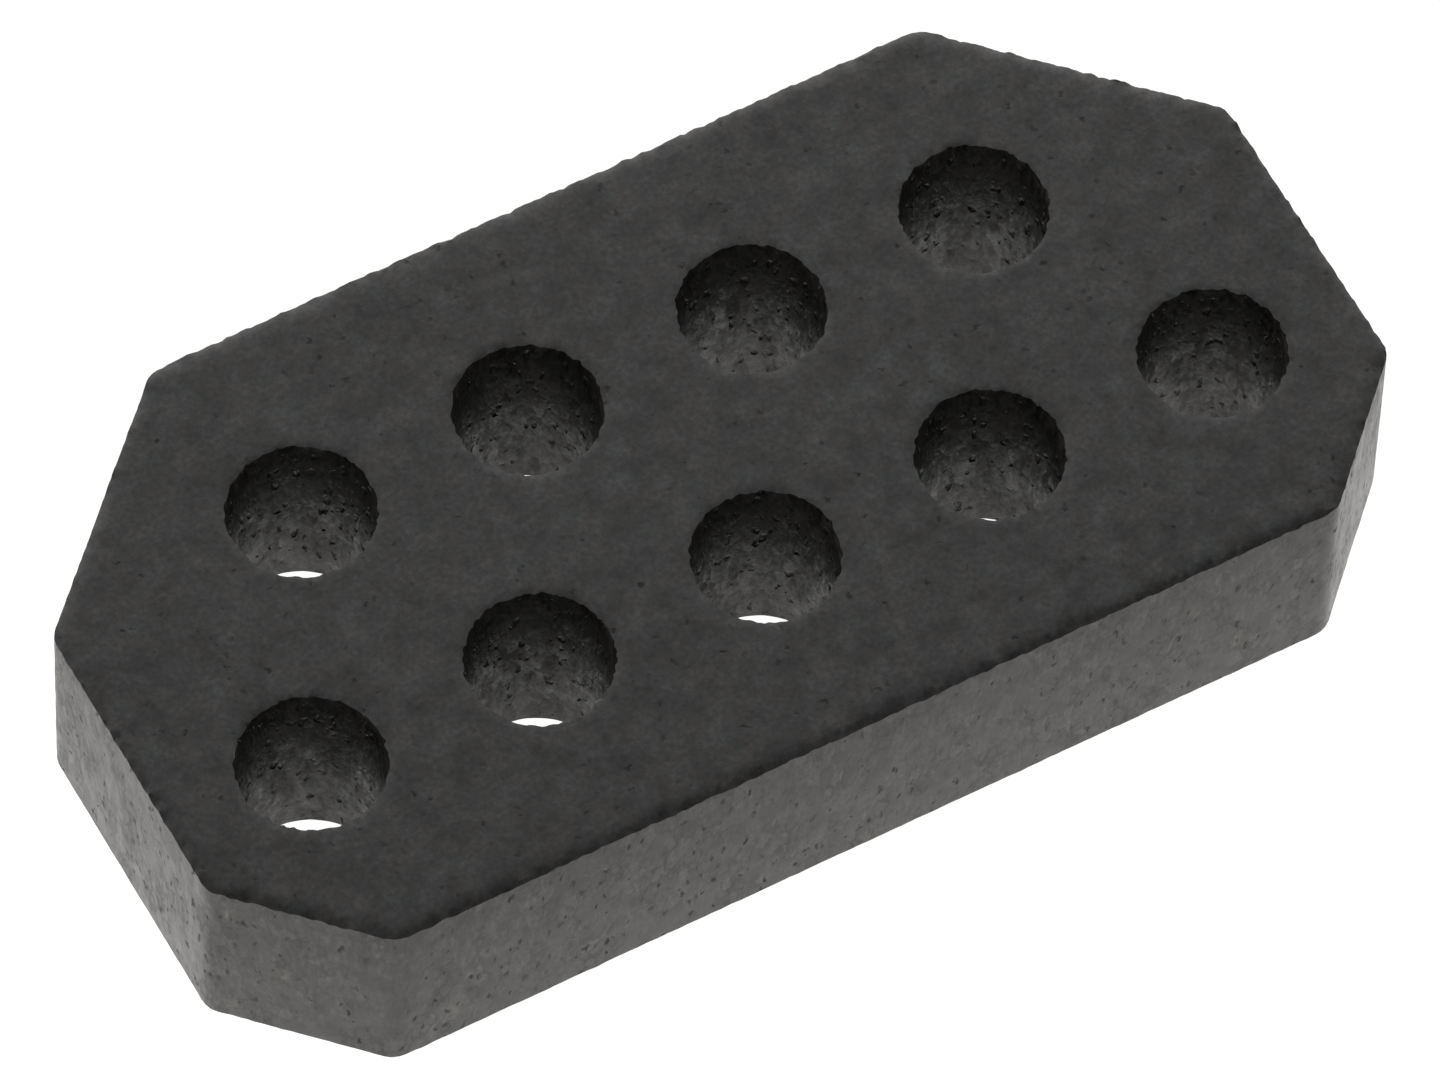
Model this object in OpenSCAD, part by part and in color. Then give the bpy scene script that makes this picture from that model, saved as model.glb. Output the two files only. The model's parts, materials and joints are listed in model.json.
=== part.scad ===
// Multi-hole ferrite plate that slips over the pins of a two-row D-shaped connector.
// It is one pressed and sintered solid: a flat plate with cut corners and two
// staggered rows of round through-holes, one hole for each contact pin.
// Millimetres. The origin is the centre of the underside, +X runs along the rows,
// +Y points to the shorter row, and +Z points up through the holes.

/* [Hole pattern] */
// Number of holes in the longer row; the shorter row has one fewer
long_row_holes = 5; // [3:1:13]
// Spacing of neighbouring holes along a row
pitch = 2.77; // [2.2:0.01:5]
// Distance between the centre lines of the two rows
row_spacing = 2.84; // [2:0.01:6]
// Diameter of each through-hole
hole_d = 1.65; // [0.8:0.05:2]

/* [Plate] */
// Thickness of the plate
thickness = 2.6; // [1:0.05:10]
// Wall between the last hole of the longer row and the end of the plate
end_wall = 0.9; // [0.6:0.05:3]
// Wall between a row of holes and the long side next to it
side_wall = 1.54; // [1:0.01:4]

/* [Corners and edges] */
// Leg of the 45 degree corner cuts beside the shorter row
short_row_cut = 2.5; // [0.6:0.1:3.2]
// Leg of the 45 degree corner cuts beside the longer row
long_row_cut = 1.5; // [0.6:0.1:2]
// Radius of the upright corners, left by the pressing die
corner_r = 0.3; // [0.3:0.05:0.8]
// Reach of the tumbled edge in over each flat face
edge_width = 0.2; // [0.05:0.01:0.28]
// Reach of the tumbled edge down each upright side
edge_height = 0.07; // [0.03:0.01:0.4]

/* [Hidden] */

ferrite_grey = [0.23, 0.23, 0.23];
corner_facets = 40;
edge_step = 15;
bore_facets = 64;
overshoot = 1;

short_row_holes = long_row_holes - 1;
half_length = (short_row_holes * pitch + hole_d) / 2 + end_wall;
half_width = (row_spacing + hole_d) / 2 + side_wall;

// Centres of one row of holes, spread evenly about the middle of the plate
function hole_row(count, y) = [
    for (i = [0 : count - 1]) [(i - (count - 1) / 2) * pitch, y]
];

hole_centres = concat(
    hole_row(long_row_holes, -row_spacing / 2),
    hole_row(short_row_holes, row_spacing / 2)
);

// Axes of the two rounded corners at both ends of a long side (side is 1 or -1).
// A corner between a straight side and a 45 degree cut turns through 45 degrees.
corner_setback = corner_r * tan(45 / 2);
function cut_corner_axes(cut, side) = [
    for (end = [-1, 1])
        each [
            [end * (half_length - corner_r), side * (half_width - cut - corner_setback)],
            [end * (half_length - cut - corner_setback), side * (half_width - corner_r)]
        ]
];

corner_axes = concat(
    cut_corner_axes(short_row_cut, 1),
    cut_corner_axes(long_row_cut, -1)
);

// Quarter ellipse of the tumbled edge, between two angles, with its centre at a height
function edge_arc(from, to, height) = [
    for (a = [from : edge_step : to])
        [corner_r - edge_width + edge_width * cos(a), height + edge_height * sin(a)]
];

// Half section of a corner post, from the underside up to the top
post_section = concat(
    [[0, 0]],
    edge_arc(-90, 0, edge_height),
    edge_arc(0, 90, thickness - edge_height),
    [[0, thickness]]
);

// Round post that stands in each corner of the plate, with both of its rims rolled off
module corner_post() {
    rotate_extrude($fn = corner_facets)
        polygon(post_section);
}

// The pressed blank: the skin stretched round the eight corner posts
module plate_blank() {
    hull()
        for (axis = corner_axes)
            translate(axis)
                corner_post();
}

module pin_hole() {
    translate([0, 0, -overshoot])
        cylinder(d = hole_d, h = thickness + 2 * overshoot, $fn = bore_facets);
}

module ferrite_plate() {
    color(ferrite_grey)
        difference() {
            plate_blank();
            for (centre = hole_centres)
                translate(centre)
                    pin_hole();
        }
}

ferrite_plate();
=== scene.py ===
import json
import math

import bpy
from mathutils import Matrix, Vector


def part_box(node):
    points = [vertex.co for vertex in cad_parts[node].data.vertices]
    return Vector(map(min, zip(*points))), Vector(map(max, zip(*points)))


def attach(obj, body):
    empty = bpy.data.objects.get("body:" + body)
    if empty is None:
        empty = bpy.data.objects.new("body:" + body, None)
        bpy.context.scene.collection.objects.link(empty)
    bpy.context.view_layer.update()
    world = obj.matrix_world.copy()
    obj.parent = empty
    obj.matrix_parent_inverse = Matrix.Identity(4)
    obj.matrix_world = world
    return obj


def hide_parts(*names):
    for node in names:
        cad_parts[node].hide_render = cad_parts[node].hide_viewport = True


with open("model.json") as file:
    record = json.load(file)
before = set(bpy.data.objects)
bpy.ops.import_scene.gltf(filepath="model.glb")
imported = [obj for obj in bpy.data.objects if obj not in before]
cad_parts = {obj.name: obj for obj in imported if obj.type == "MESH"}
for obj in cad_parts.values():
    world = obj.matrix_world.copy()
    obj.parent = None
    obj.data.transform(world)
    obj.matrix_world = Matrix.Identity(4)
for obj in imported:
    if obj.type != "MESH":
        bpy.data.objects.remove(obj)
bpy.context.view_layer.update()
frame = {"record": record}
mm = 0.001
noiseLow, noiseHigh = 0.3, 0.7  # most of a noise lies between these
bores = [m for m in frame["record"]["mounts"] if m["kind"] == "bore"]
plateLow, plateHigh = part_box("ferrite_plate")
plateSize = (plateHigh - plateLow) / mm
print("frame loaded, plate", [round(v, 3) for v in plateSize], "mm,", len(bores), "bores")


def linear(hexColour):  # sRGB hex to linear RGBA
    parts = [int(hexColour[i:i + 2], 16) / 255 for i in (0, 2, 4)]
    return tuple(c / 12.92 if c <= 0.04045 else ((c + 0.055) / 1.055) ** 2.4 for c in parts) + (1,)


def addNode(tree, kind, links, **settings):  # one node, its settings, and what feeds its sockets
    made = tree.nodes.new(kind)
    for name, value in settings.items():
        setattr(made, name, value)
    for socket, value in links.items():
        for source in value if isinstance(value, list) else [value]:
            if isinstance(source, bpy.types.Node):
                source = source.outputs[0]
            if isinstance(source, bpy.types.NodeSocket):
                tree.links.new(source, made.inputs[socket])
            else:
                made.inputs[socket].default_value = source
    return made


ferriteLook = {             # lengths in millimetres
    "face": "474747",       # flat faces, pressed by the punches
    "side": "343230",       # sides, burnished by the die
    "bore": "2E2C29",       # bores, scuffed by the core rods
    "warm": "FFFAF0",       # slight tints of single granules
    "cool": "F8FBFF",
    # painted shade: the dark colour put into pores and the seams between granules
    "poreWithPaintedShade": "0F0F0E",
    "ior": 1.46,
    "faceRoughness": 0.7,
    "sideRoughness": 0.34,
    "boreRoughness": 0.55,
    "poreRoughness": 0.8,
    "gritGloss": 0.04,      # how far each pattern shifts the roughness of the sides
    "mottleGloss": 0.04,
    "dragGloss": 0.02,
    "granuleGloss": 0.03,
    "boreUneven": 3.0,      # gloss is this much patchier in the bores than on the sides
    "drawnOut": 2.0,        # granules and pores are taller than wide, along the pressing
    "bendWidth": 0.08,      # ripples in their outlines
    "bendReach": 0.12,
    "granule": 0.14,        # width of a pressed granule
    "mosaic": 0.8,          # share by which granules on the walls differ in tone
    "seamWidth": 0.026,     # gaps left between granules on the sides
    "seamDepth": 0.24,      # as a share of the depth of a pore
    "seamsOpen": (0.42, 0.6),       # levels of the cloudy pattern from shut to fully open
    "grit": 0.06,           # width of the crystals that roughen the skin, drawn coarser than life to show
    "faceSpeckle": 0.3,     # share by which they differ in tone
    "wallSpeckle": 0.85,
    "mottle": 0.35,         # width of the cloudy patches
    "cloudTone": 0.38,      # share by which they differ in tone
    "dragWidth": 0.07,      # short lines where the blank slid out of the die
    "dragLength": 0.4,
    "dragTone": 0.3,        # share by which they differ in tone
    "poreSpacing": 0.13,
    "poreRadius": 0.038,    # of the widest pores
    "poreLeast": 0.4,       # radius of the narrowest, as a share of that
    "poreFade": (0.2, 1.5),         # a pore is dark to the first and gone by the second, in radii
    "poreFill": (0.25, 0.9),        # depth of the shallowest and the deepest
    "poreShift": (3.7, 1.9, 5.3),   # sets the pores apart from the granules
    "poresOnFace": 0.2,     # share of the pores that stay open
    "poresOnWall": 0.9,
    "poreDepth": 0.017,
    "granuleDepth": 0.004,
    "gritDepth": 0.0045,
    "faceRelief": 0.2,      # the punches press the faces flatter, and the rods leave the bores coarser
    "sideRelief": 0.3,
    "boreRelief": 2.6,
    "sideBow": 0.034,       # sides bow out between their edges
    "boreFlare": 0.24,      # rods drag the granules up like scales, which darkens the mouths of the bores
    "flareDepth": 1.8,
}


# Sintered nickel-zinc ferrite, pressed from spray-dried granules: a matt dark grey ceramic in which
# the flattened granules still show as a fine mosaic, with open pores where they don't quite meet.
# The die leaves a satin gloss on the sides, while the flat faces and the bores stay dull
def sinteredFerrite():
    look = ferriteLook
    material = bpy.data.materials.new("sinteredFerrite")
    material.use_nodes = True
    tree = material.node_tree
    tree.nodes.clear()
    metres = addNode(tree, "ShaderNodeTexCoord", {}).outputs["Object"]
    squash = (1 / mm, 1 / mm, 1 / mm / look["drawnOut"])  # to millimetres
    spot = addNode(tree, "ShaderNodeVectorMath", {0: metres, 1: squash}, operation="MULTIPLY")
    side = addNode(tree, "ShaderNodeAttribute", {}, attribute_name="side").outputs["Fac"]
    bore = addNode(tree, "ShaderNodeAttribute", {}, attribute_name="bore").outputs["Fac"]
    wall = addNode(tree, "ShaderNodeMath", {0: side, 1: bore}, operation="ADD")

    # bent coordinates, so that granules and pores have uneven outlines
    bend = addNode(tree, "ShaderNodeTexNoise",
                   {"Vector": spot, "Scale": 1 / look["bendWidth"], "Detail": 1.0}).outputs["Color"]
    bend = addNode(tree, "ShaderNodeVectorMath", {0: bend, 1: (0.5, 0.5, 0.5)}, operation="SUBTRACT")
    bend = addNode(tree, "ShaderNodeVectorMath", {0: bend, "Scale": look["bendReach"]}, operation="SCALE")
    bent = addNode(tree, "ShaderNodeVectorMath", {0: spot, 1: bend}, operation="ADD")

    # patterns: granules, crystal grit, cloudy patches and drag lines
    granules = addNode(tree, "ShaderNodeTexVoronoi", {"Vector": bent, "Scale": 1 / look["granule"]}).outputs
    granuleDraw = addNode(tree, "ShaderNodeSeparateColor", {0: granules["Color"]}).outputs
    grit = addNode(tree, "ShaderNodeTexNoise",
                   {"Vector": spot, "Scale": 1 / look["grit"], "Detail": 3.0, "Roughness": 0.6})
    mottle = addNode(tree, "ShaderNodeTexNoise",
                     {"Vector": spot, "Scale": 1 / look["mottle"], "Detail": 4.0, "Roughness": 0.65})
    along = (1 / look["dragWidth"], 1 / look["dragWidth"], look["drawnOut"] / look["dragLength"])
    along = addNode(tree, "ShaderNodeVectorMath", {0: spot, 1: along}, operation="MULTIPLY")
    drag = addNode(tree, "ShaderNodeTexNoise", {"Vector": along, "Scale": 1.0, "Detail": 1.0})

    # pores of many widths and depths, most of them closed on the flat faces; the mask both sinks them as pits
    # and paints shade into them
    apart = addNode(tree, "ShaderNodeVectorMath", {0: bent, 1: look["poreShift"]}, operation="ADD")
    pores = addNode(tree, "ShaderNodeTexVoronoi",
                    {"Vector": apart, "Scale": 1 / look["poreSpacing"]}).outputs
    poreDraw = addNode(tree, "ShaderNodeSeparateColor", {0: pores["Color"]}).outputs
    widest = look["poreRadius"] / look["poreSpacing"]
    width = addNode(tree, "ShaderNodeMapRange",
                    {0: poreDraw["Blue"], 3: widest * look["poreLeast"], 4: widest})
    poreWithPaintedShade = addNode(tree, "ShaderNodeMath", {0: pores["Distance"], 1: width}, operation="DIVIDE")
    darkTo, goneBy = look["poreFade"]
    poreWithPaintedShade = addNode(tree, "ShaderNodeMapRange", {0: poreWithPaintedShade, 1: darkTo, 2: goneBy, 3: 1.0, 4: 0.0},
                   interpolation_type="SMOOTHSTEP")
    openShare = addNode(tree, "ShaderNodeMix", {0: wall, 2: look["poresOnFace"], 3: look["poresOnWall"]})
    isOpen = addNode(tree, "ShaderNodeMath", {0: poreDraw["Green"], 1: openShare}, operation="LESS_THAN")
    poreWithPaintedShade = addNode(tree, "ShaderNodeMath", {0: poreWithPaintedShade, 1: isOpen}, operation="MULTIPLY")
    shallow, deep = look["poreFill"]
    filled = addNode(tree, "ShaderNodeMapRange", {0: poreDraw["Red"], 3: shallow, 4: deep})
    poreWithPaintedShade = addNode(tree, "ShaderNodeMath", {0: poreWithPaintedShade, 1: filled}, operation="MULTIPLY")

    # seams between granules on the sides, closed in some patches, sunk and painted dark with the pores:
    # painted shade in the gaps
    seams = addNode(tree, "ShaderNodeTexVoronoi", {"Vector": bent, "Scale": 1 / look["granule"]},
                    feature="DISTANCE_TO_EDGE").outputs
    seamEdge = look["seamWidth"] / look["granule"]
    seamWithPaintedShade = addNode(tree, "ShaderNodeMapRange",
                   {0: seams["Distance"], 1: 0.0, 2: seamEdge, 3: look["seamDepth"], 4: 0.0})
    opensAt, openAt = look["seamsOpen"]
    ajar = addNode(tree, "ShaderNodeMapRange", {0: mottle, 1: opensAt, 2: openAt})
    ajar = addNode(tree, "ShaderNodeMath", {0: ajar, 1: side}, operation="MULTIPLY")
    seamWithPaintedShade = addNode(tree, "ShaderNodeMath", {0: seamWithPaintedShade, 1: ajar}, operation="MULTIPLY")
    poreWithPaintedShade = addNode(tree, "ShaderNodeMath", {0: poreWithPaintedShade, 1: seamWithPaintedShade}, operation="MAXIMUM")

    # colour: cloudy and gritty all over, a mosaic with drag lines on the walls, and painted shade in the
    # pores and the seams between granules
    shade = addNode(tree, "ShaderNodeMix", {0: side, 6: linear(look["face"]), 7: linear(look["side"])},
                    data_type="RGBA").outputs[2]
    shade = addNode(tree, "ShaderNodeMix", {0: bore, 6: shade, 7: linear(look["bore"])},
                    data_type="RGBA").outputs[2]
    cloud = addNode(tree, "ShaderNodeMapRange",
                    {0: mottle, 1: noiseLow, 2: noiseHigh,
                     3: 1 - look["cloudTone"], 4: 1 + look["cloudTone"]})
    shade = addNode(tree, "ShaderNodeVectorMath", {0: shade, "Scale": cloud}, operation="SCALE")
    speckle = addNode(tree, "ShaderNodeMapRange", {0: grit, 1: noiseLow, 2: noiseHigh, 3: -1.0, 4: 1.0})
    amount = addNode(tree, "ShaderNodeMix", {0: wall, 2: look["faceSpeckle"], 3: look["wallSpeckle"]})
    speckle = addNode(tree, "ShaderNodeMath", {0: speckle, 1: amount, 2: 1.0}, operation="MULTIPLY_ADD")
    shade = addNode(tree, "ShaderNodeVectorMath", {0: shade, "Scale": speckle}, operation="SCALE")
    tone = addNode(tree, "ShaderNodeMath", {0: granuleDraw["Red"], 1: poreDraw["Red"]}, operation="ADD")
    tone = addNode(tree, "ShaderNodeMapRange",
                   {0: tone, 2: 2.0, 3: 1 - look["mosaic"], 4: 1 + look["mosaic"]})
    streak = addNode(tree, "ShaderNodeMapRange",
                     {0: drag, 1: noiseLow, 2: noiseHigh,
                      3: 1 - look["dragTone"], 4: 1 + look["dragTone"]})
    tone = addNode(tree, "ShaderNodeMath", {0: tone, 1: streak}, operation="MULTIPLY")
    tone = addNode(tree, "ShaderNodeMix", {0: wall, 2: 1.0, 3: tone})
    shade = addNode(tree, "ShaderNodeVectorMath", {0: shade, "Scale": tone}, operation="SCALE")
    tint = addNode(tree, "ShaderNodeMix",
                   {0: granuleDraw["Green"], 6: linear(look["warm"]), 7: linear(look["cool"])},
                   data_type="RGBA").outputs[2]
    shade = addNode(tree, "ShaderNodeVectorMath", {0: shade, 1: tint}, operation="MULTIPLY")
    # pores and seams take a dark colour: painted shade in the pits and gaps
    shade = addNode(tree, "ShaderNodeMix", {0: poreWithPaintedShade, 6: shade, 7: linear(look["poreWithPaintedShade"])},
                    data_type="RGBA").outputs[2]

    # gloss: satin on the sides, uneven with every pattern, and dull in the pores
    polish = addNode(tree, "ShaderNodeMix", {0: side, 2: look["faceRoughness"], 3: look["sideRoughness"]})
    polish = addNode(tree, "ShaderNodeMix", {0: bore, 2: polish, 3: look["boreRoughness"]})
    scuffed = addNode(tree, "ShaderNodeMath", {0: bore, 1: look["boreUneven"], 2: side},
                      operation="MULTIPLY_ADD")
    for pattern, low, high, shift in ((grit, noiseLow, noiseHigh, look["gritGloss"]),
                                      (mottle, noiseLow, noiseHigh, look["mottleGloss"]),
                                      (drag, noiseLow, noiseHigh, look["dragGloss"]),
                                      (granuleDraw["Blue"], 0.0, 1.0, look["granuleGloss"])):
        uneven = addNode(tree, "ShaderNodeMapRange", {0: pattern, 1: low, 2: high, 3: -shift, 4: shift})
        polish = addNode(tree, "ShaderNodeMath", {0: uneven, 1: scuffed, 2: polish}, operation="MULTIPLY_ADD")
    polish = addNode(tree, "ShaderNodeMix", {0: poreWithPaintedShade, 2: polish, 3: look["poreRoughness"]})

    # relief: granules stand proud, grit roughens them, pores are pits
    dome = addNode(tree, "ShaderNodeMath", {0: granules["Distance"], 1: -look["granuleDepth"]},
                   operation="MULTIPLY")
    grain = addNode(tree, "ShaderNodeMath", {0: grit, 1: look["gritDepth"]}, operation="MULTIPLY")
    relief = addNode(tree, "ShaderNodeMath", {0: dome, 1: grain}, operation="ADD")
    relief = addNode(tree, "ShaderNodeMath", {0: poreWithPaintedShade, 1: -look["poreDepth"], 2: relief},
                     operation="MULTIPLY_ADD")
    held = addNode(tree, "ShaderNodeMix", {0: side, 2: look["faceRelief"], 3: look["sideRelief"]})
    held = addNode(tree, "ShaderNodeMix", {0: bore, 2: held, 3: look["boreRelief"]})
    relief = addNode(tree, "ShaderNodeMath", {0: relief, 1: held}, operation="MULTIPLY")

    # slopes, in the shading alone: sides bow out, bores open towards the top
    rise = addNode(tree, "ShaderNodeSeparateXYZ", {0: metres}).outputs["Z"]
    top = plateSize.z * mm
    bow = addNode(tree, "ShaderNodeMapRange", {0: rise, 1: 0.0, 2: top, 3: -1.0, 4: 1.0})
    flare = addNode(tree, "ShaderNodeMapRange", {0: rise, 1: top - look["flareDepth"] * mm, 2: top})
    for slope, zone, depth in ((bow, side, look["sideBow"]), (flare, bore, look["boreFlare"])):
        slope = addNode(tree, "ShaderNodeMath", {0: slope, 1: slope}, operation="MULTIPLY")
        slope = addNode(tree, "ShaderNodeMath", {0: slope, 1: zone}, operation="MULTIPLY")
        relief = addNode(tree, "ShaderNodeMath", {0: slope, 1: -depth, 2: relief}, operation="MULTIPLY_ADD")
    bump = addNode(tree, "ShaderNodeBump", {"Height": relief, "Distance": mm})
    shader = addNode(tree, "ShaderNodeBsdfPrincipled",
                     {"Base Color": shade, "Roughness": polish, "IOR": look["ior"], "Normal": bump})
    addNode(tree, "ShaderNodeOutputMaterial", {0: shader})
    return material


# Sintered ferrite plate, all sizes in millimetres
plate = {
    "Length": plateSize.x,
    "Width": plateSize.y,
    "Thickness": plateSize.z,
    "Bore radius": bores[0]["dims"]["r_mm"],
    "Short row cut": 2.5,
    "Long row cut": 1.5,
    "Corner radius": 0.3,
    "Corner steps": 8,
    "Bore steps": 96,
    "Edge reach": 0.2,      # tumbled edge, in over the flat faces
    "Edge drop": 0.056,     # tumbled edge, down the sides
    "Edge wander": 0.75,    # share by which the tumbled edge comes and goes at the top
    "Lower wander": 0.1,    # the same at the underside
    "Edge bumps": 8.0,      # per millimetre
    "Side lean": 0.006,     # sides curve in towards the top
    "Rim reach": 0.05,      # worn rim of the bores
    "Rim drop": 0.016,
    "Rim wander": 0.021,    # raggedness of the rim
    "Rim bumps": 12.0,      # per millimetre
    "Granule": 0.22,        # width of a pressed granule
    "Wall relief": 0.008,   # depth of the dips between granules
    "Face relief": 0.003,
    "Step": 0.06,           # spacing of the mesh on the flat faces
    "Layers": 26,           # mesh rows from the underside to the top
}

# how much narrower each bore is at the underside, in millimetres of radius
boreTaper = {
    "long_row_hole_1": 0.0,
    "long_row_hole_2": 0.01,
    "long_row_hole_3": 0.0,
    "long_row_hole_4": 0.045,
    "long_row_hole_5": 0.025,
    "short_row_hole_1": 0.0,
    "short_row_hole_2": 0.055,
    "short_row_hole_3": 0.04,
    "short_row_hole_4": 0.025,
}

# how the mesh is laid out, lengths in millimetres
plateMesh = {
    "rimMargin": 0.45,      # grid points nearer a rim than this share of a step are dropped
    "eveningRounds": 12,
    "crowdReach": 0.3,      # this close to a rim, the mesh is drawn nearer to it
    "crowding": 0.45,       # share of its distance that is left at the rim
    "weld": 0.002,          # points closer than this are merged
    "onWall": 0.005,        # distances from the outline or a bore that still count as on it
    "onRim": 0.015,
    "nearWall": 0.025,
    "leanPower": 4.0,       # how fast the lean and the raggedness grow towards the top, even numbers
    "rimPower": 8.0,
    "crispAngle": 30,       # degrees
}


def plateTree():
    tree = bpy.data.node_groups.new("ferritePlate", "GeometryNodeTree")
    tree.interface.new_socket("Bore centres", in_out="INPUT", socket_type="NodeSocketGeometry")
    for name, value in plate.items():
        kind = "NodeSocketInt" if isinstance(value, int) else "NodeSocketFloat"
        tree.interface.new_socket(name, in_out="INPUT", socket_type=kind)
    tree.interface.new_socket("Ferrite", in_out="INPUT", socket_type="NodeSocketMaterial")
    tree.interface.new_socket("Plate", in_out="OUTPUT", socket_type="NodeSocketGeometry")
    given = tree.nodes.new("NodeGroupInput").outputs
    spot = addNode(tree, "GeometryNodeInputPosition", {})
    spotXyz = addNode(tree, "ShaderNodeSeparateXYZ", {0: spot}).outputs
    normal = addNode(tree, "GeometryNodeInputNormal", {})
    normalUp = addNode(tree, "ShaderNodeSeparateXYZ", {0: normal}).outputs["Z"]

    # rectangle, then 45 degree cuts, then rounded corners
    rectangle = addNode(tree, "GeometryNodeCurvePrimitiveQuadrilateral",
                        {"Width": given["Length"], "Height": given["Width"]})
    shortRowSide = addNode(tree, "FunctionNodeCompare", {0: spotXyz["Y"], 1: 0.0}, operation="GREATER_THAN")
    cut = addNode(tree, "GeometryNodeSwitch",
                  {0: shortRowSide, 1: given["Long row cut"], 2: given["Short row cut"]}, input_type="FLOAT")
    octagon = addNode(tree, "GeometryNodeFilletCurve", {"Curve": rectangle, "Count": 1, "Radius": cut},
                      mode="POLY")
    outline = addNode(tree, "GeometryNodeFilletCurve",
                      {"Curve": octagon, "Count": given["Corner steps"], "Radius": given["Corner radius"]},
                      mode="POLY")
    circle = addNode(tree, "GeometryNodeCurvePrimitiveCircle",
                     {"Resolution": given["Bore steps"], "Radius": given["Bore radius"]})
    circles = addNode(tree, "GeometryNodeInstanceOnPoints",
                      {"Points": given["Bore centres"], "Instance": circle})
    circles = addNode(tree, "GeometryNodeRealizeInstances", {0: circles})
    profile = addNode(tree, "GeometryNodeJoinGeometry", {0: [outline, circles]})
    face = addNode(tree, "GeometryNodeFillCurve", {0: profile}, mode="TRIANGLES")
    rims = addNode(tree, "GeometryNodeCurveToMesh", {0: profile})

    # even grid, trimmed to the profile, drawn out to its rims and evened out
    countX = addNode(tree, "ShaderNodeMath", {0: given["Length"], 1: given["Step"]}, operation="DIVIDE")
    countY = addNode(tree, "ShaderNodeMath", {0: given["Width"], 1: given["Step"]}, operation="DIVIDE")
    grid = addNode(tree, "GeometryNodeMeshGrid", {"Size X": given["Length"], "Size Y": given["Width"],
                                                  "Vertices X": countX, "Vertices Y": countY})
    above = addNode(tree, "ShaderNodeVectorMath", {0: spot, 1: (0, 0, 1)}, operation="ADD")
    inside = addNode(tree, "GeometryNodeRaycast", {"Target Geometry": face, "Source Position": above,
                                                   "Ray Direction": (0, 0, -1), "Ray Length": 2.0})
    toRim = addNode(tree, "GeometryNodeProximity", {0: rims}, target_element="EDGES").outputs
    margin = addNode(tree, "ShaderNodeMath", {0: given["Step"], 1: plateMesh["rimMargin"]},
                     operation="MULTIPLY")
    clear = addNode(tree, "FunctionNodeCompare", {0: toRim["Distance"], 1: margin}, operation="GREATER_THAN")
    kept = addNode(tree, "FunctionNodeBooleanMath", {0: inside.outputs["Is Hit"], 1: clear}, operation="AND")
    waste = addNode(tree, "FunctionNodeBooleanMath", {0: kept}, operation="NOT")
    grid = addNode(tree, "GeometryNodeDeleteGeometry", {0: grid, 1: waste}, domain="POINT")
    faceCount = addNode(tree, "GeometryNodeInputMeshEdgeNeighbors", {})
    loose = addNode(tree, "FunctionNodeCompare", {2: faceCount, 3: 0}, data_type="INT", operation="EQUAL")
    grid = addNode(tree, "GeometryNodeDeleteGeometry", {0: grid, 1: loose}, domain="EDGE")
    openEdge = addNode(tree, "FunctionNodeCompare", {2: faceCount, 3: 1}, data_type="INT", operation="EQUAL")
    onRim = addNode(tree, "GeometryNodeFieldOnDomain", {0: openEdge}, data_type="BOOLEAN", domain="EDGE")
    offRim = addNode(tree, "FunctionNodeBooleanMath", {0: onRim}, operation="NOT")
    grid = addNode(tree, "GeometryNodeSetPosition",
                   {0: grid, "Selection": onRim, "Position": toRim["Position"]})
    evened = addNode(tree, "GeometryNodeBlurAttribute",
                     {0: spot, "Iterations": plateMesh["eveningRounds"], "Weight": offRim},
                     data_type="FLOAT_VECTOR")
    grid = addNode(tree, "GeometryNodeSetPosition", {0: grid, "Position": evened})
    fromRim = addNode(tree, "ShaderNodeVectorMath", {0: spot, 1: toRim["Position"]}, operation="SUBTRACT")
    closer = addNode(tree, "ShaderNodeMapRange", {0: toRim["Distance"], 1: 0.0, 2: plateMesh["crowdReach"],
                                                  3: plateMesh["crowding"], 4: 1.0})
    fromRim = addNode(tree, "ShaderNodeVectorMath", {0: fromRim, "Scale": closer}, operation="SCALE")
    crowded = addNode(tree, "ShaderNodeVectorMath", {0: toRim["Position"], 1: fromRim}, operation="ADD")
    flat = addNode(tree, "GeometryNodeSetPosition", {0: grid, "Position": crowded})

    # raised in even layers to the full thickness
    layer = addNode(tree, "ShaderNodeMath", {0: given["Thickness"], 1: given["Layers"]}, operation="DIVIDE")
    raising = tree.nodes.new("GeometryNodeRepeatInput")
    raised = tree.nodes.new("GeometryNodeRepeatOutput")
    raising.pair_with_output(raised)
    tree.links.new(given["Layers"], raising.inputs["Iterations"])
    tree.links.new(flat.outputs[0], raising.inputs["Geometry"])
    facingUp = addNode(tree, "FunctionNodeCompare", {0: normalUp, 1: 0.5}, operation="GREATER_THAN")
    lifted = addNode(tree, "GeometryNodeExtrudeMesh",
                     {"Mesh": raising.outputs["Geometry"], "Selection": facingUp, "Offset": (0, 0, 1),
                      "Offset Scale": layer, "Individual": False}, mode="FACES")
    tree.links.new(lifted.outputs[0], raised.inputs["Geometry"])
    underside = addNode(tree, "GeometryNodeFlipFaces", {0: flat})
    solid = addNode(tree, "GeometryNodeJoinGeometry", {0: [raised.outputs["Geometry"], underside]})
    solid = addNode(tree, "GeometryNodeMergeByDistance", {0: solid, "Distance": plateMesh["weld"]})
    upright = addNode(tree, "ShaderNodeMath", {0: normalUp}, operation="ABSOLUTE")
    isWall = addNode(tree, "FunctionNodeCompare", {0: upright, 1: 0.5}, operation="LESS_THAN")

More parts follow.
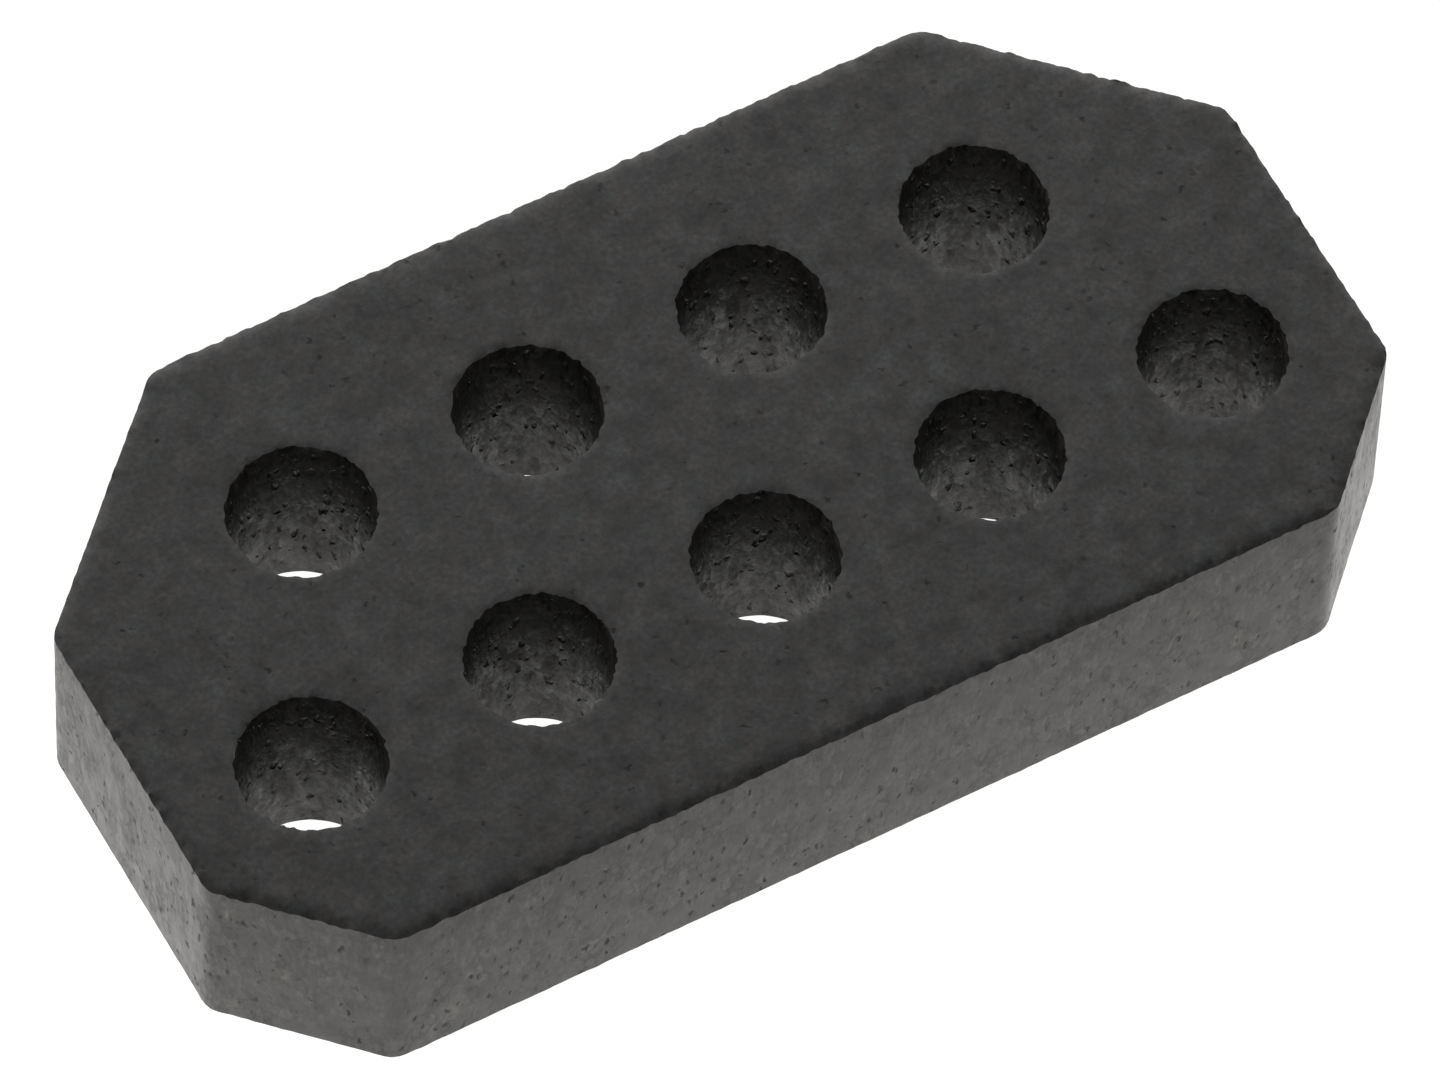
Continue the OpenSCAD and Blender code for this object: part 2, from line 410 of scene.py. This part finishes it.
    # how far each point lies from the outline and from the nearest bore, and its height:
    # 1 at the underside, -1 at the top
    flatSpot = addNode(tree, "ShaderNodeVectorMath", {0: spot, 1: (1, 1, 0)}, operation="MULTIPLY")
    inFrom = []
    for curve in (outline, circles):
        wire = addNode(tree, "GeometryNodeCurveToMesh", {0: curve})
        nearest = addNode(tree, "GeometryNodeProximity", {0: wire, "Sample Position": flatSpot},
                          target_element="EDGES")
        inFrom.append(nearest.outputs["Distance"])
    height = addNode(tree, "ShaderNodeMapRange",
                     {0: spotXyz["Z"], 1: 0.0, 2: given["Thickness"], 3: 1.0, 4: -1.0})
    topOnly = addNode(tree, "ShaderNodeMath", {0: height, 1: 0.0}, operation="MINIMUM")

    # the die makes the sides, and the core rods the bores
    outerPart = addNode(tree, "FunctionNodeCompare", {0: inFrom[0], 1: inFrom[1]}, operation="LESS_THAN")
    innerPart = addNode(tree, "FunctionNodeBooleanMath", {0: outerPart}, operation="NOT")
    for name, part in (("side", outerPart), ("bore", innerPart)):
        zone = addNode(tree, "FunctionNodeBooleanMath", {0: isWall, 1: part}, operation="AND")
        solid = addNode(tree, "GeometryNodeStoreNamedAttribute", {0: solid, "Name": name, "Value": zone},
                        data_type="FLOAT", domain="FACE")

    # sides curve in towards the top, and bores narrow towards the underside
    outwards = addNode(tree, "ShaderNodeVectorMath", {0: normal, 1: (1, 1, 0)}, operation="MULTIPLY")
    outwards = addNode(tree, "ShaderNodeVectorMath", {0: outwards}, operation="NORMALIZE")
    lean = addNode(tree, "ShaderNodeMath", {0: topOnly, 1: plateMesh["leanPower"]}, operation="POWER")
    lean = addNode(tree, "ShaderNodeMath", {0: lean, 1: given["Side lean"]}, operation="MULTIPLY")
    lean = addNode(tree, "ShaderNodeMath", {0: lean, 1: -1.0}, operation="MULTIPLY")
    ownTaper = addNode(tree, "GeometryNodeInputNamedAttribute", {"Name": "taper"}, data_type="FLOAT")
    ownBore = addNode(tree, "GeometryNodeSampleNearest",
                      {0: given["Bore centres"], "Sample Position": flatSpot})
    ownTaper = addNode(tree, "GeometryNodeSampleIndex",
                       {0: given["Bore centres"], 1: ownTaper, "Index": ownBore})
    taper = addNode(tree, "ShaderNodeMapRange", {0: height, 1: -1.0, 2: 1.0, 3: 0.0, 4: ownTaper})
    for distance, shift in ((inFrom[0], lean), (inFrom[1], taper)):
        onWall = addNode(tree, "FunctionNodeCompare", {0: distance, 1: plateMesh["onWall"]},
                         operation="LESS_THAN")
        shift = addNode(tree, "ShaderNodeVectorMath", {0: outwards, "Scale": shift}, operation="SCALE")
        solid = addNode(tree, "GeometryNodeSetPosition", {0: solid, "Selection": onWall, "Offset": shift})

    # rims of the bores are ragged at the top
    ragged = addNode(tree, "ShaderNodeTexNoise",
                     {"Vector": spot, "Scale": given["Rim bumps"], "Detail": 2.0})
    ragged = addNode(tree, "ShaderNodeMapRange", {0: ragged, 1: noiseLow, 2: noiseHigh, 3: -1.0, 4: 1.0})
    mouth = addNode(tree, "ShaderNodeMath", {0: topOnly, 1: plateMesh["rimPower"]}, operation="POWER")
    ragged = addNode(tree, "ShaderNodeMath", {0: ragged, 1: mouth}, operation="MULTIPLY")
    ragged = addNode(tree, "ShaderNodeMath", {0: ragged, 1: given["Rim wander"]}, operation="MULTIPLY")
    ragged = addNode(tree, "ShaderNodeVectorMath", {0: outwards, "Scale": ragged}, operation="SCALE")
    onBore = addNode(tree, "FunctionNodeCompare", {0: inFrom[1], 1: plateMesh["onRim"]},
                     operation="LESS_THAN")
    solid = addNode(tree, "GeometryNodeSetPosition", {0: solid, "Selection": onBore, "Offset": ragged})

    # edges worn by tumbling: a quarter ellipse that comes and goes along the edge
    wander = addNode(tree, "ShaderNodeTexNoise",
                     {"Vector": spot, "Scale": given["Edge bumps"], "Detail": 2.0})
    spread = addNode(tree, "ShaderNodeMapRange", {0: wander, 1: noiseLow, 2: noiseHigh, 3: -1.0, 4: 1.0})
    share = addNode(tree, "ShaderNodeMapRange",
                    {0: height, 1: -1.0, 2: 1.0, 3: given["Edge wander"], 4: given["Lower wander"]})
    spread = addNode(tree, "ShaderNodeMath", {0: spread, 1: share, 2: 1.0}, operation="MULTIPLY_ADD")
    for distance, reach, depth, way in ((inFrom[0], "Edge reach", "Edge drop", height),
                                        (inFrom[1], "Rim reach", "Rim drop", topOnly)):
        near = addNode(tree, "ShaderNodeMapRange", {0: distance, 1: 0.0, 2: given[reach], 3: 1.0, 4: 0.0})
        bend = addNode(tree, "ShaderNodeMath", {0: near, 1: near}, operation="MULTIPLY")
        bend = addNode(tree, "ShaderNodeMath", {0: 1.0, 1: bend}, operation="SUBTRACT")
        bend = addNode(tree, "ShaderNodeMath", {0: bend}, operation="SQRT")
        bend = addNode(tree, "ShaderNodeMath", {0: 1.0, 1: bend}, operation="SUBTRACT")
        drop = addNode(tree, "ShaderNodeMath", {0: bend, 1: given[depth]}, operation="MULTIPLY")
        drop = addNode(tree, "ShaderNodeMath", {0: drop, 1: spread}, operation="MULTIPLY")
        drop = addNode(tree, "ShaderNodeMath", {0: drop, 1: way}, operation="MULTIPLY")
        drop = addNode(tree, "ShaderNodeCombineXYZ", {"Z": drop})
        solid = addNode(tree, "GeometryNodeSetPosition", {0: solid, "Offset": drop})

    # dips between the granules, always inwards
    perMm = addNode(tree, "ShaderNodeMath", {0: 1.0, 1: given["Granule"]}, operation="DIVIDE")
    granules = addNode(tree, "ShaderNodeTexVoronoi", {"Vector": spot, "Scale": perMm})
    nearWall = addNode(tree, "ShaderNodeMath", {0: inFrom[0], 1: inFrom[1]}, operation="MINIMUM")
    nearWall = addNode(tree, "FunctionNodeCompare", {0: nearWall, 1: plateMesh["nearWall"]},
                       operation="LESS_THAN")
    relief = addNode(tree, "ShaderNodeMix", {0: nearWall, 2: given["Face relief"], 3: given["Wall relief"]})
    dip = addNode(tree, "ShaderNodeMath", {0: granules.outputs["Distance"], 1: relief}, operation="MULTIPLY")
    dip = addNode(tree, "ShaderNodeMath", {0: dip, 1: -1.0}, operation="MULTIPLY")
    dip = addNode(tree, "ShaderNodeVectorMath", {0: normal, "Scale": dip}, operation="SCALE")
    solid = addNode(tree, "GeometryNodeSetPosition", {0: solid, "Offset": dip})

    # smooth skin, crisp only round the bores
    turn = addNode(tree, "GeometryNodeInputMeshEdgeAngle", {})
    crisp = addNode(tree, "FunctionNodeCompare", {0: turn, 1: math.radians(plateMesh["crispAngle"])},
                    operation="GREATER_THAN")
    solid = addNode(tree, "GeometryNodeSetShadeSmooth", {0: solid, "Shade Smooth": True}, domain="FACE")
    solid = addNode(tree, "GeometryNodeSetShadeSmooth", {0: solid, "Selection": crisp, "Shade Smooth": False},
                    domain="EDGE")
    solid = addNode(tree, "GeometryNodeTransform", {0: solid, "Scale": (mm, mm, mm)})
    solid = addNode(tree, "GeometryNodeRealizeInstances", {0: solid})
    solid = addNode(tree, "GeometryNodeSetMaterial", {0: solid, "Material": given["Ferrite"]})
    addNode(tree, "NodeGroupOutput", {0: solid})
    return tree


def buildPlate(ferrite):
    mesh = bpy.data.meshes.new("boreCentres")
    mesh.from_pydata([(b["pos_m"][0] / mm, b["pos_m"][1] / mm, 0) for b in bores], [], [])
    tapers = mesh.attributes.new("taper", "FLOAT", "POINT")
    tapers.data.foreach_set("value", [boreTaper[b["name"]] for b in bores])
    piece = bpy.data.objects.new("ferrite_plate_body", mesh)
    bpy.context.scene.collection.objects.link(piece)
    tree = plateTree()
    modifier = piece.modifiers.new("plate", "NODES")
    modifier.node_group = tree
    for item in tree.interface.items_tree:
        if item.in_out == "INPUT" and item.name in plate:
            modifier[item.identifier] = plate[item.name]
        elif item.name == "Ferrite":
            modifier[item.identifier] = ferrite
    evaluated = piece.evaluated_get(bpy.context.evaluated_depsgraph_get())
    made = bpy.data.meshes.new_from_object(evaluated)
    piece.modifiers.remove(modifier)
    piece.data = made
    print("plate mesh", len(made.vertices), "points", len(made.polygons), "faces")
    return piece


piece = buildPlate(sinteredFerrite())
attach(piece, "root")
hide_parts("ferrite_plate")


# Camera as the photograph was taken: long lens, looking down on the plate
cameraView = {
    "turn": 30.812,      # degrees round from -Y towards -X
    "height": 58.443,    # degrees above the table
    "roll": 2.501,
    "distance": 170.0,   # mm
    "lens": 393.02,      # mm
    "sensor": 36,        # mm
    "nearest": 0.001,    # metres
    "across": 0.187,     # mm from the middle of the top face to the centre of the picture
    "upward": -0.897,
}


def buildCamera():
    turn, height, roll = (math.radians(cameraView[k]) for k in ("turn", "height", "roll"))
    back = Vector((-math.sin(turn) * math.cos(height), -math.cos(turn) * math.cos(height), math.sin(height)))
    level = Vector((math.cos(turn), -math.sin(turn), 0))
    rise = back.cross(level)
    right = math.cos(roll) * level + math.sin(roll) * rise
    up = back.cross(right)
    target = Vector((0, 0, plateSize.z)) + cameraView["across"] * right + cameraView["upward"] * up
    place = (target + cameraView["distance"] * back) * mm
    data = bpy.data.cameras.new("camera")
    data.lens = cameraView["lens"]
    data.sensor_width = cameraView["sensor"]
    data.clip_start = cameraView["nearest"]
    camera = bpy.data.objects.new("camera", data)
    camera.matrix_world = Matrix.Translation(place) @ Matrix((right, up, back)).transposed().to_4x4()
    bpy.context.scene.collection.objects.link(camera)
    bpy.context.scene.camera = camera


# Bright white table, a dark ceiling, a softbox close behind the plate and two weaker ones
studio = {
    "tableSize": 2.0,        # metres
    "tableGap": 0.02,        # mm between the table and the plate
    "tableColour": "FFFEFC",
    "tableGlow": 1.03,
    "leftGlow": 1.25,        # the table is brighter past the ends of the plate
    "rightGlow": 1.11,
    "glowFade": (5.0, 8.5),  # mm from the middle
    "ceilingColour": "FFFFFF",
    "ceilingGlow": 0.02,
    # degrees clockwise from straight behind, height, width and tallness in degrees, metres away, glow
    "lights": {
        "backSoftbox": (342, 24, 96, 48, 0.09, 2.65),
        "rightFill": (62, 14, 50, 28, 0.09, 0.7),
        "frontFill": (180, 36, 30, 28, 0.09, 1.0),
    },
}


def buildStudio():
    half = studio["tableSize"] / 2
    mesh = bpy.data.meshes.new("table")
    level = -studio["tableGap"] * mm
    mesh.from_pydata([(-half, -half, level), (half, -half, level), (half, half, level), (-half, half, level)],
                     [], [(0, 1, 2, 3)])
    table = bpy.data.objects.new("table", mesh)
    bpy.context.scene.collection.objects.link(table)
    white = bpy.data.materials.new("whiteTable")
    white.use_nodes = True
    tree = white.node_tree
    tree.nodes.clear()
    metres = addNode(tree, "ShaderNodeTexCoord", {}).outputs["Object"]
    across = addNode(tree, "ShaderNodeSeparateXYZ", {0: metres}).outputs["X"]
    near, far = (v * mm for v in studio["glowFade"])
    left = addNode(tree, "ShaderNodeMapRange",
                   {0: across, 1: -far, 2: -near, 3: studio["leftGlow"], 4: studio["tableGlow"]})
    right = addNode(tree, "ShaderNodeMapRange",
                    {0: across, 1: near, 2: far, 3: studio["tableGlow"], 4: studio["rightGlow"]})
    strength = addNode(tree, "ShaderNodeMath", {0: left, 1: right}, operation="MAXIMUM")
    glow = addNode(tree, "ShaderNodeEmission",
                   {"Color": linear(studio["tableColour"]), "Strength": strength})
    addNode(tree, "ShaderNodeOutputMaterial", {0: glow})
    mesh.materials.append(white)
    world = bpy.data.worlds.new("darkCeiling")
    world.use_nodes = True
    ceiling = world.node_tree.nodes["Background"].inputs
    ceiling["Color"].default_value = linear(studio["ceilingColour"])
    ceiling["Strength"].default_value = studio["ceilingGlow"]
    bpy.context.scene.world = world

    for name, (clockwise, height, width, tallness, distance, glow) in studio["lights"].items():
        turn, rise = math.radians(cameraView["turn"] + clockwise), math.radians(height)
        way = Vector((math.sin(turn) * math.cos(rise), math.cos(turn) * math.cos(rise), math.sin(rise)))
        data = bpy.data.lights.new(name, "AREA")
        data.shape = "RECTANGLE"
        data.size = 2 * distance * math.tan(math.radians(width / 2))
        data.size_y = 2 * distance * math.tan(math.radians(tallness / 2))
        data.energy = glow * math.pi * data.size * data.size_y
        light = bpy.data.objects.new(name, data)
        aim = way.to_track_quat("Z", "Y").to_matrix().to_4x4()
        light.matrix_world = Matrix.Translation(way * distance) @ aim
        light.visible_camera = False
        bpy.context.scene.collection.objects.link(light)


buildCamera()
buildStudio()
print("camera and studio ready")
bpy.context.scene.view_settings.view_transform = "Standard"
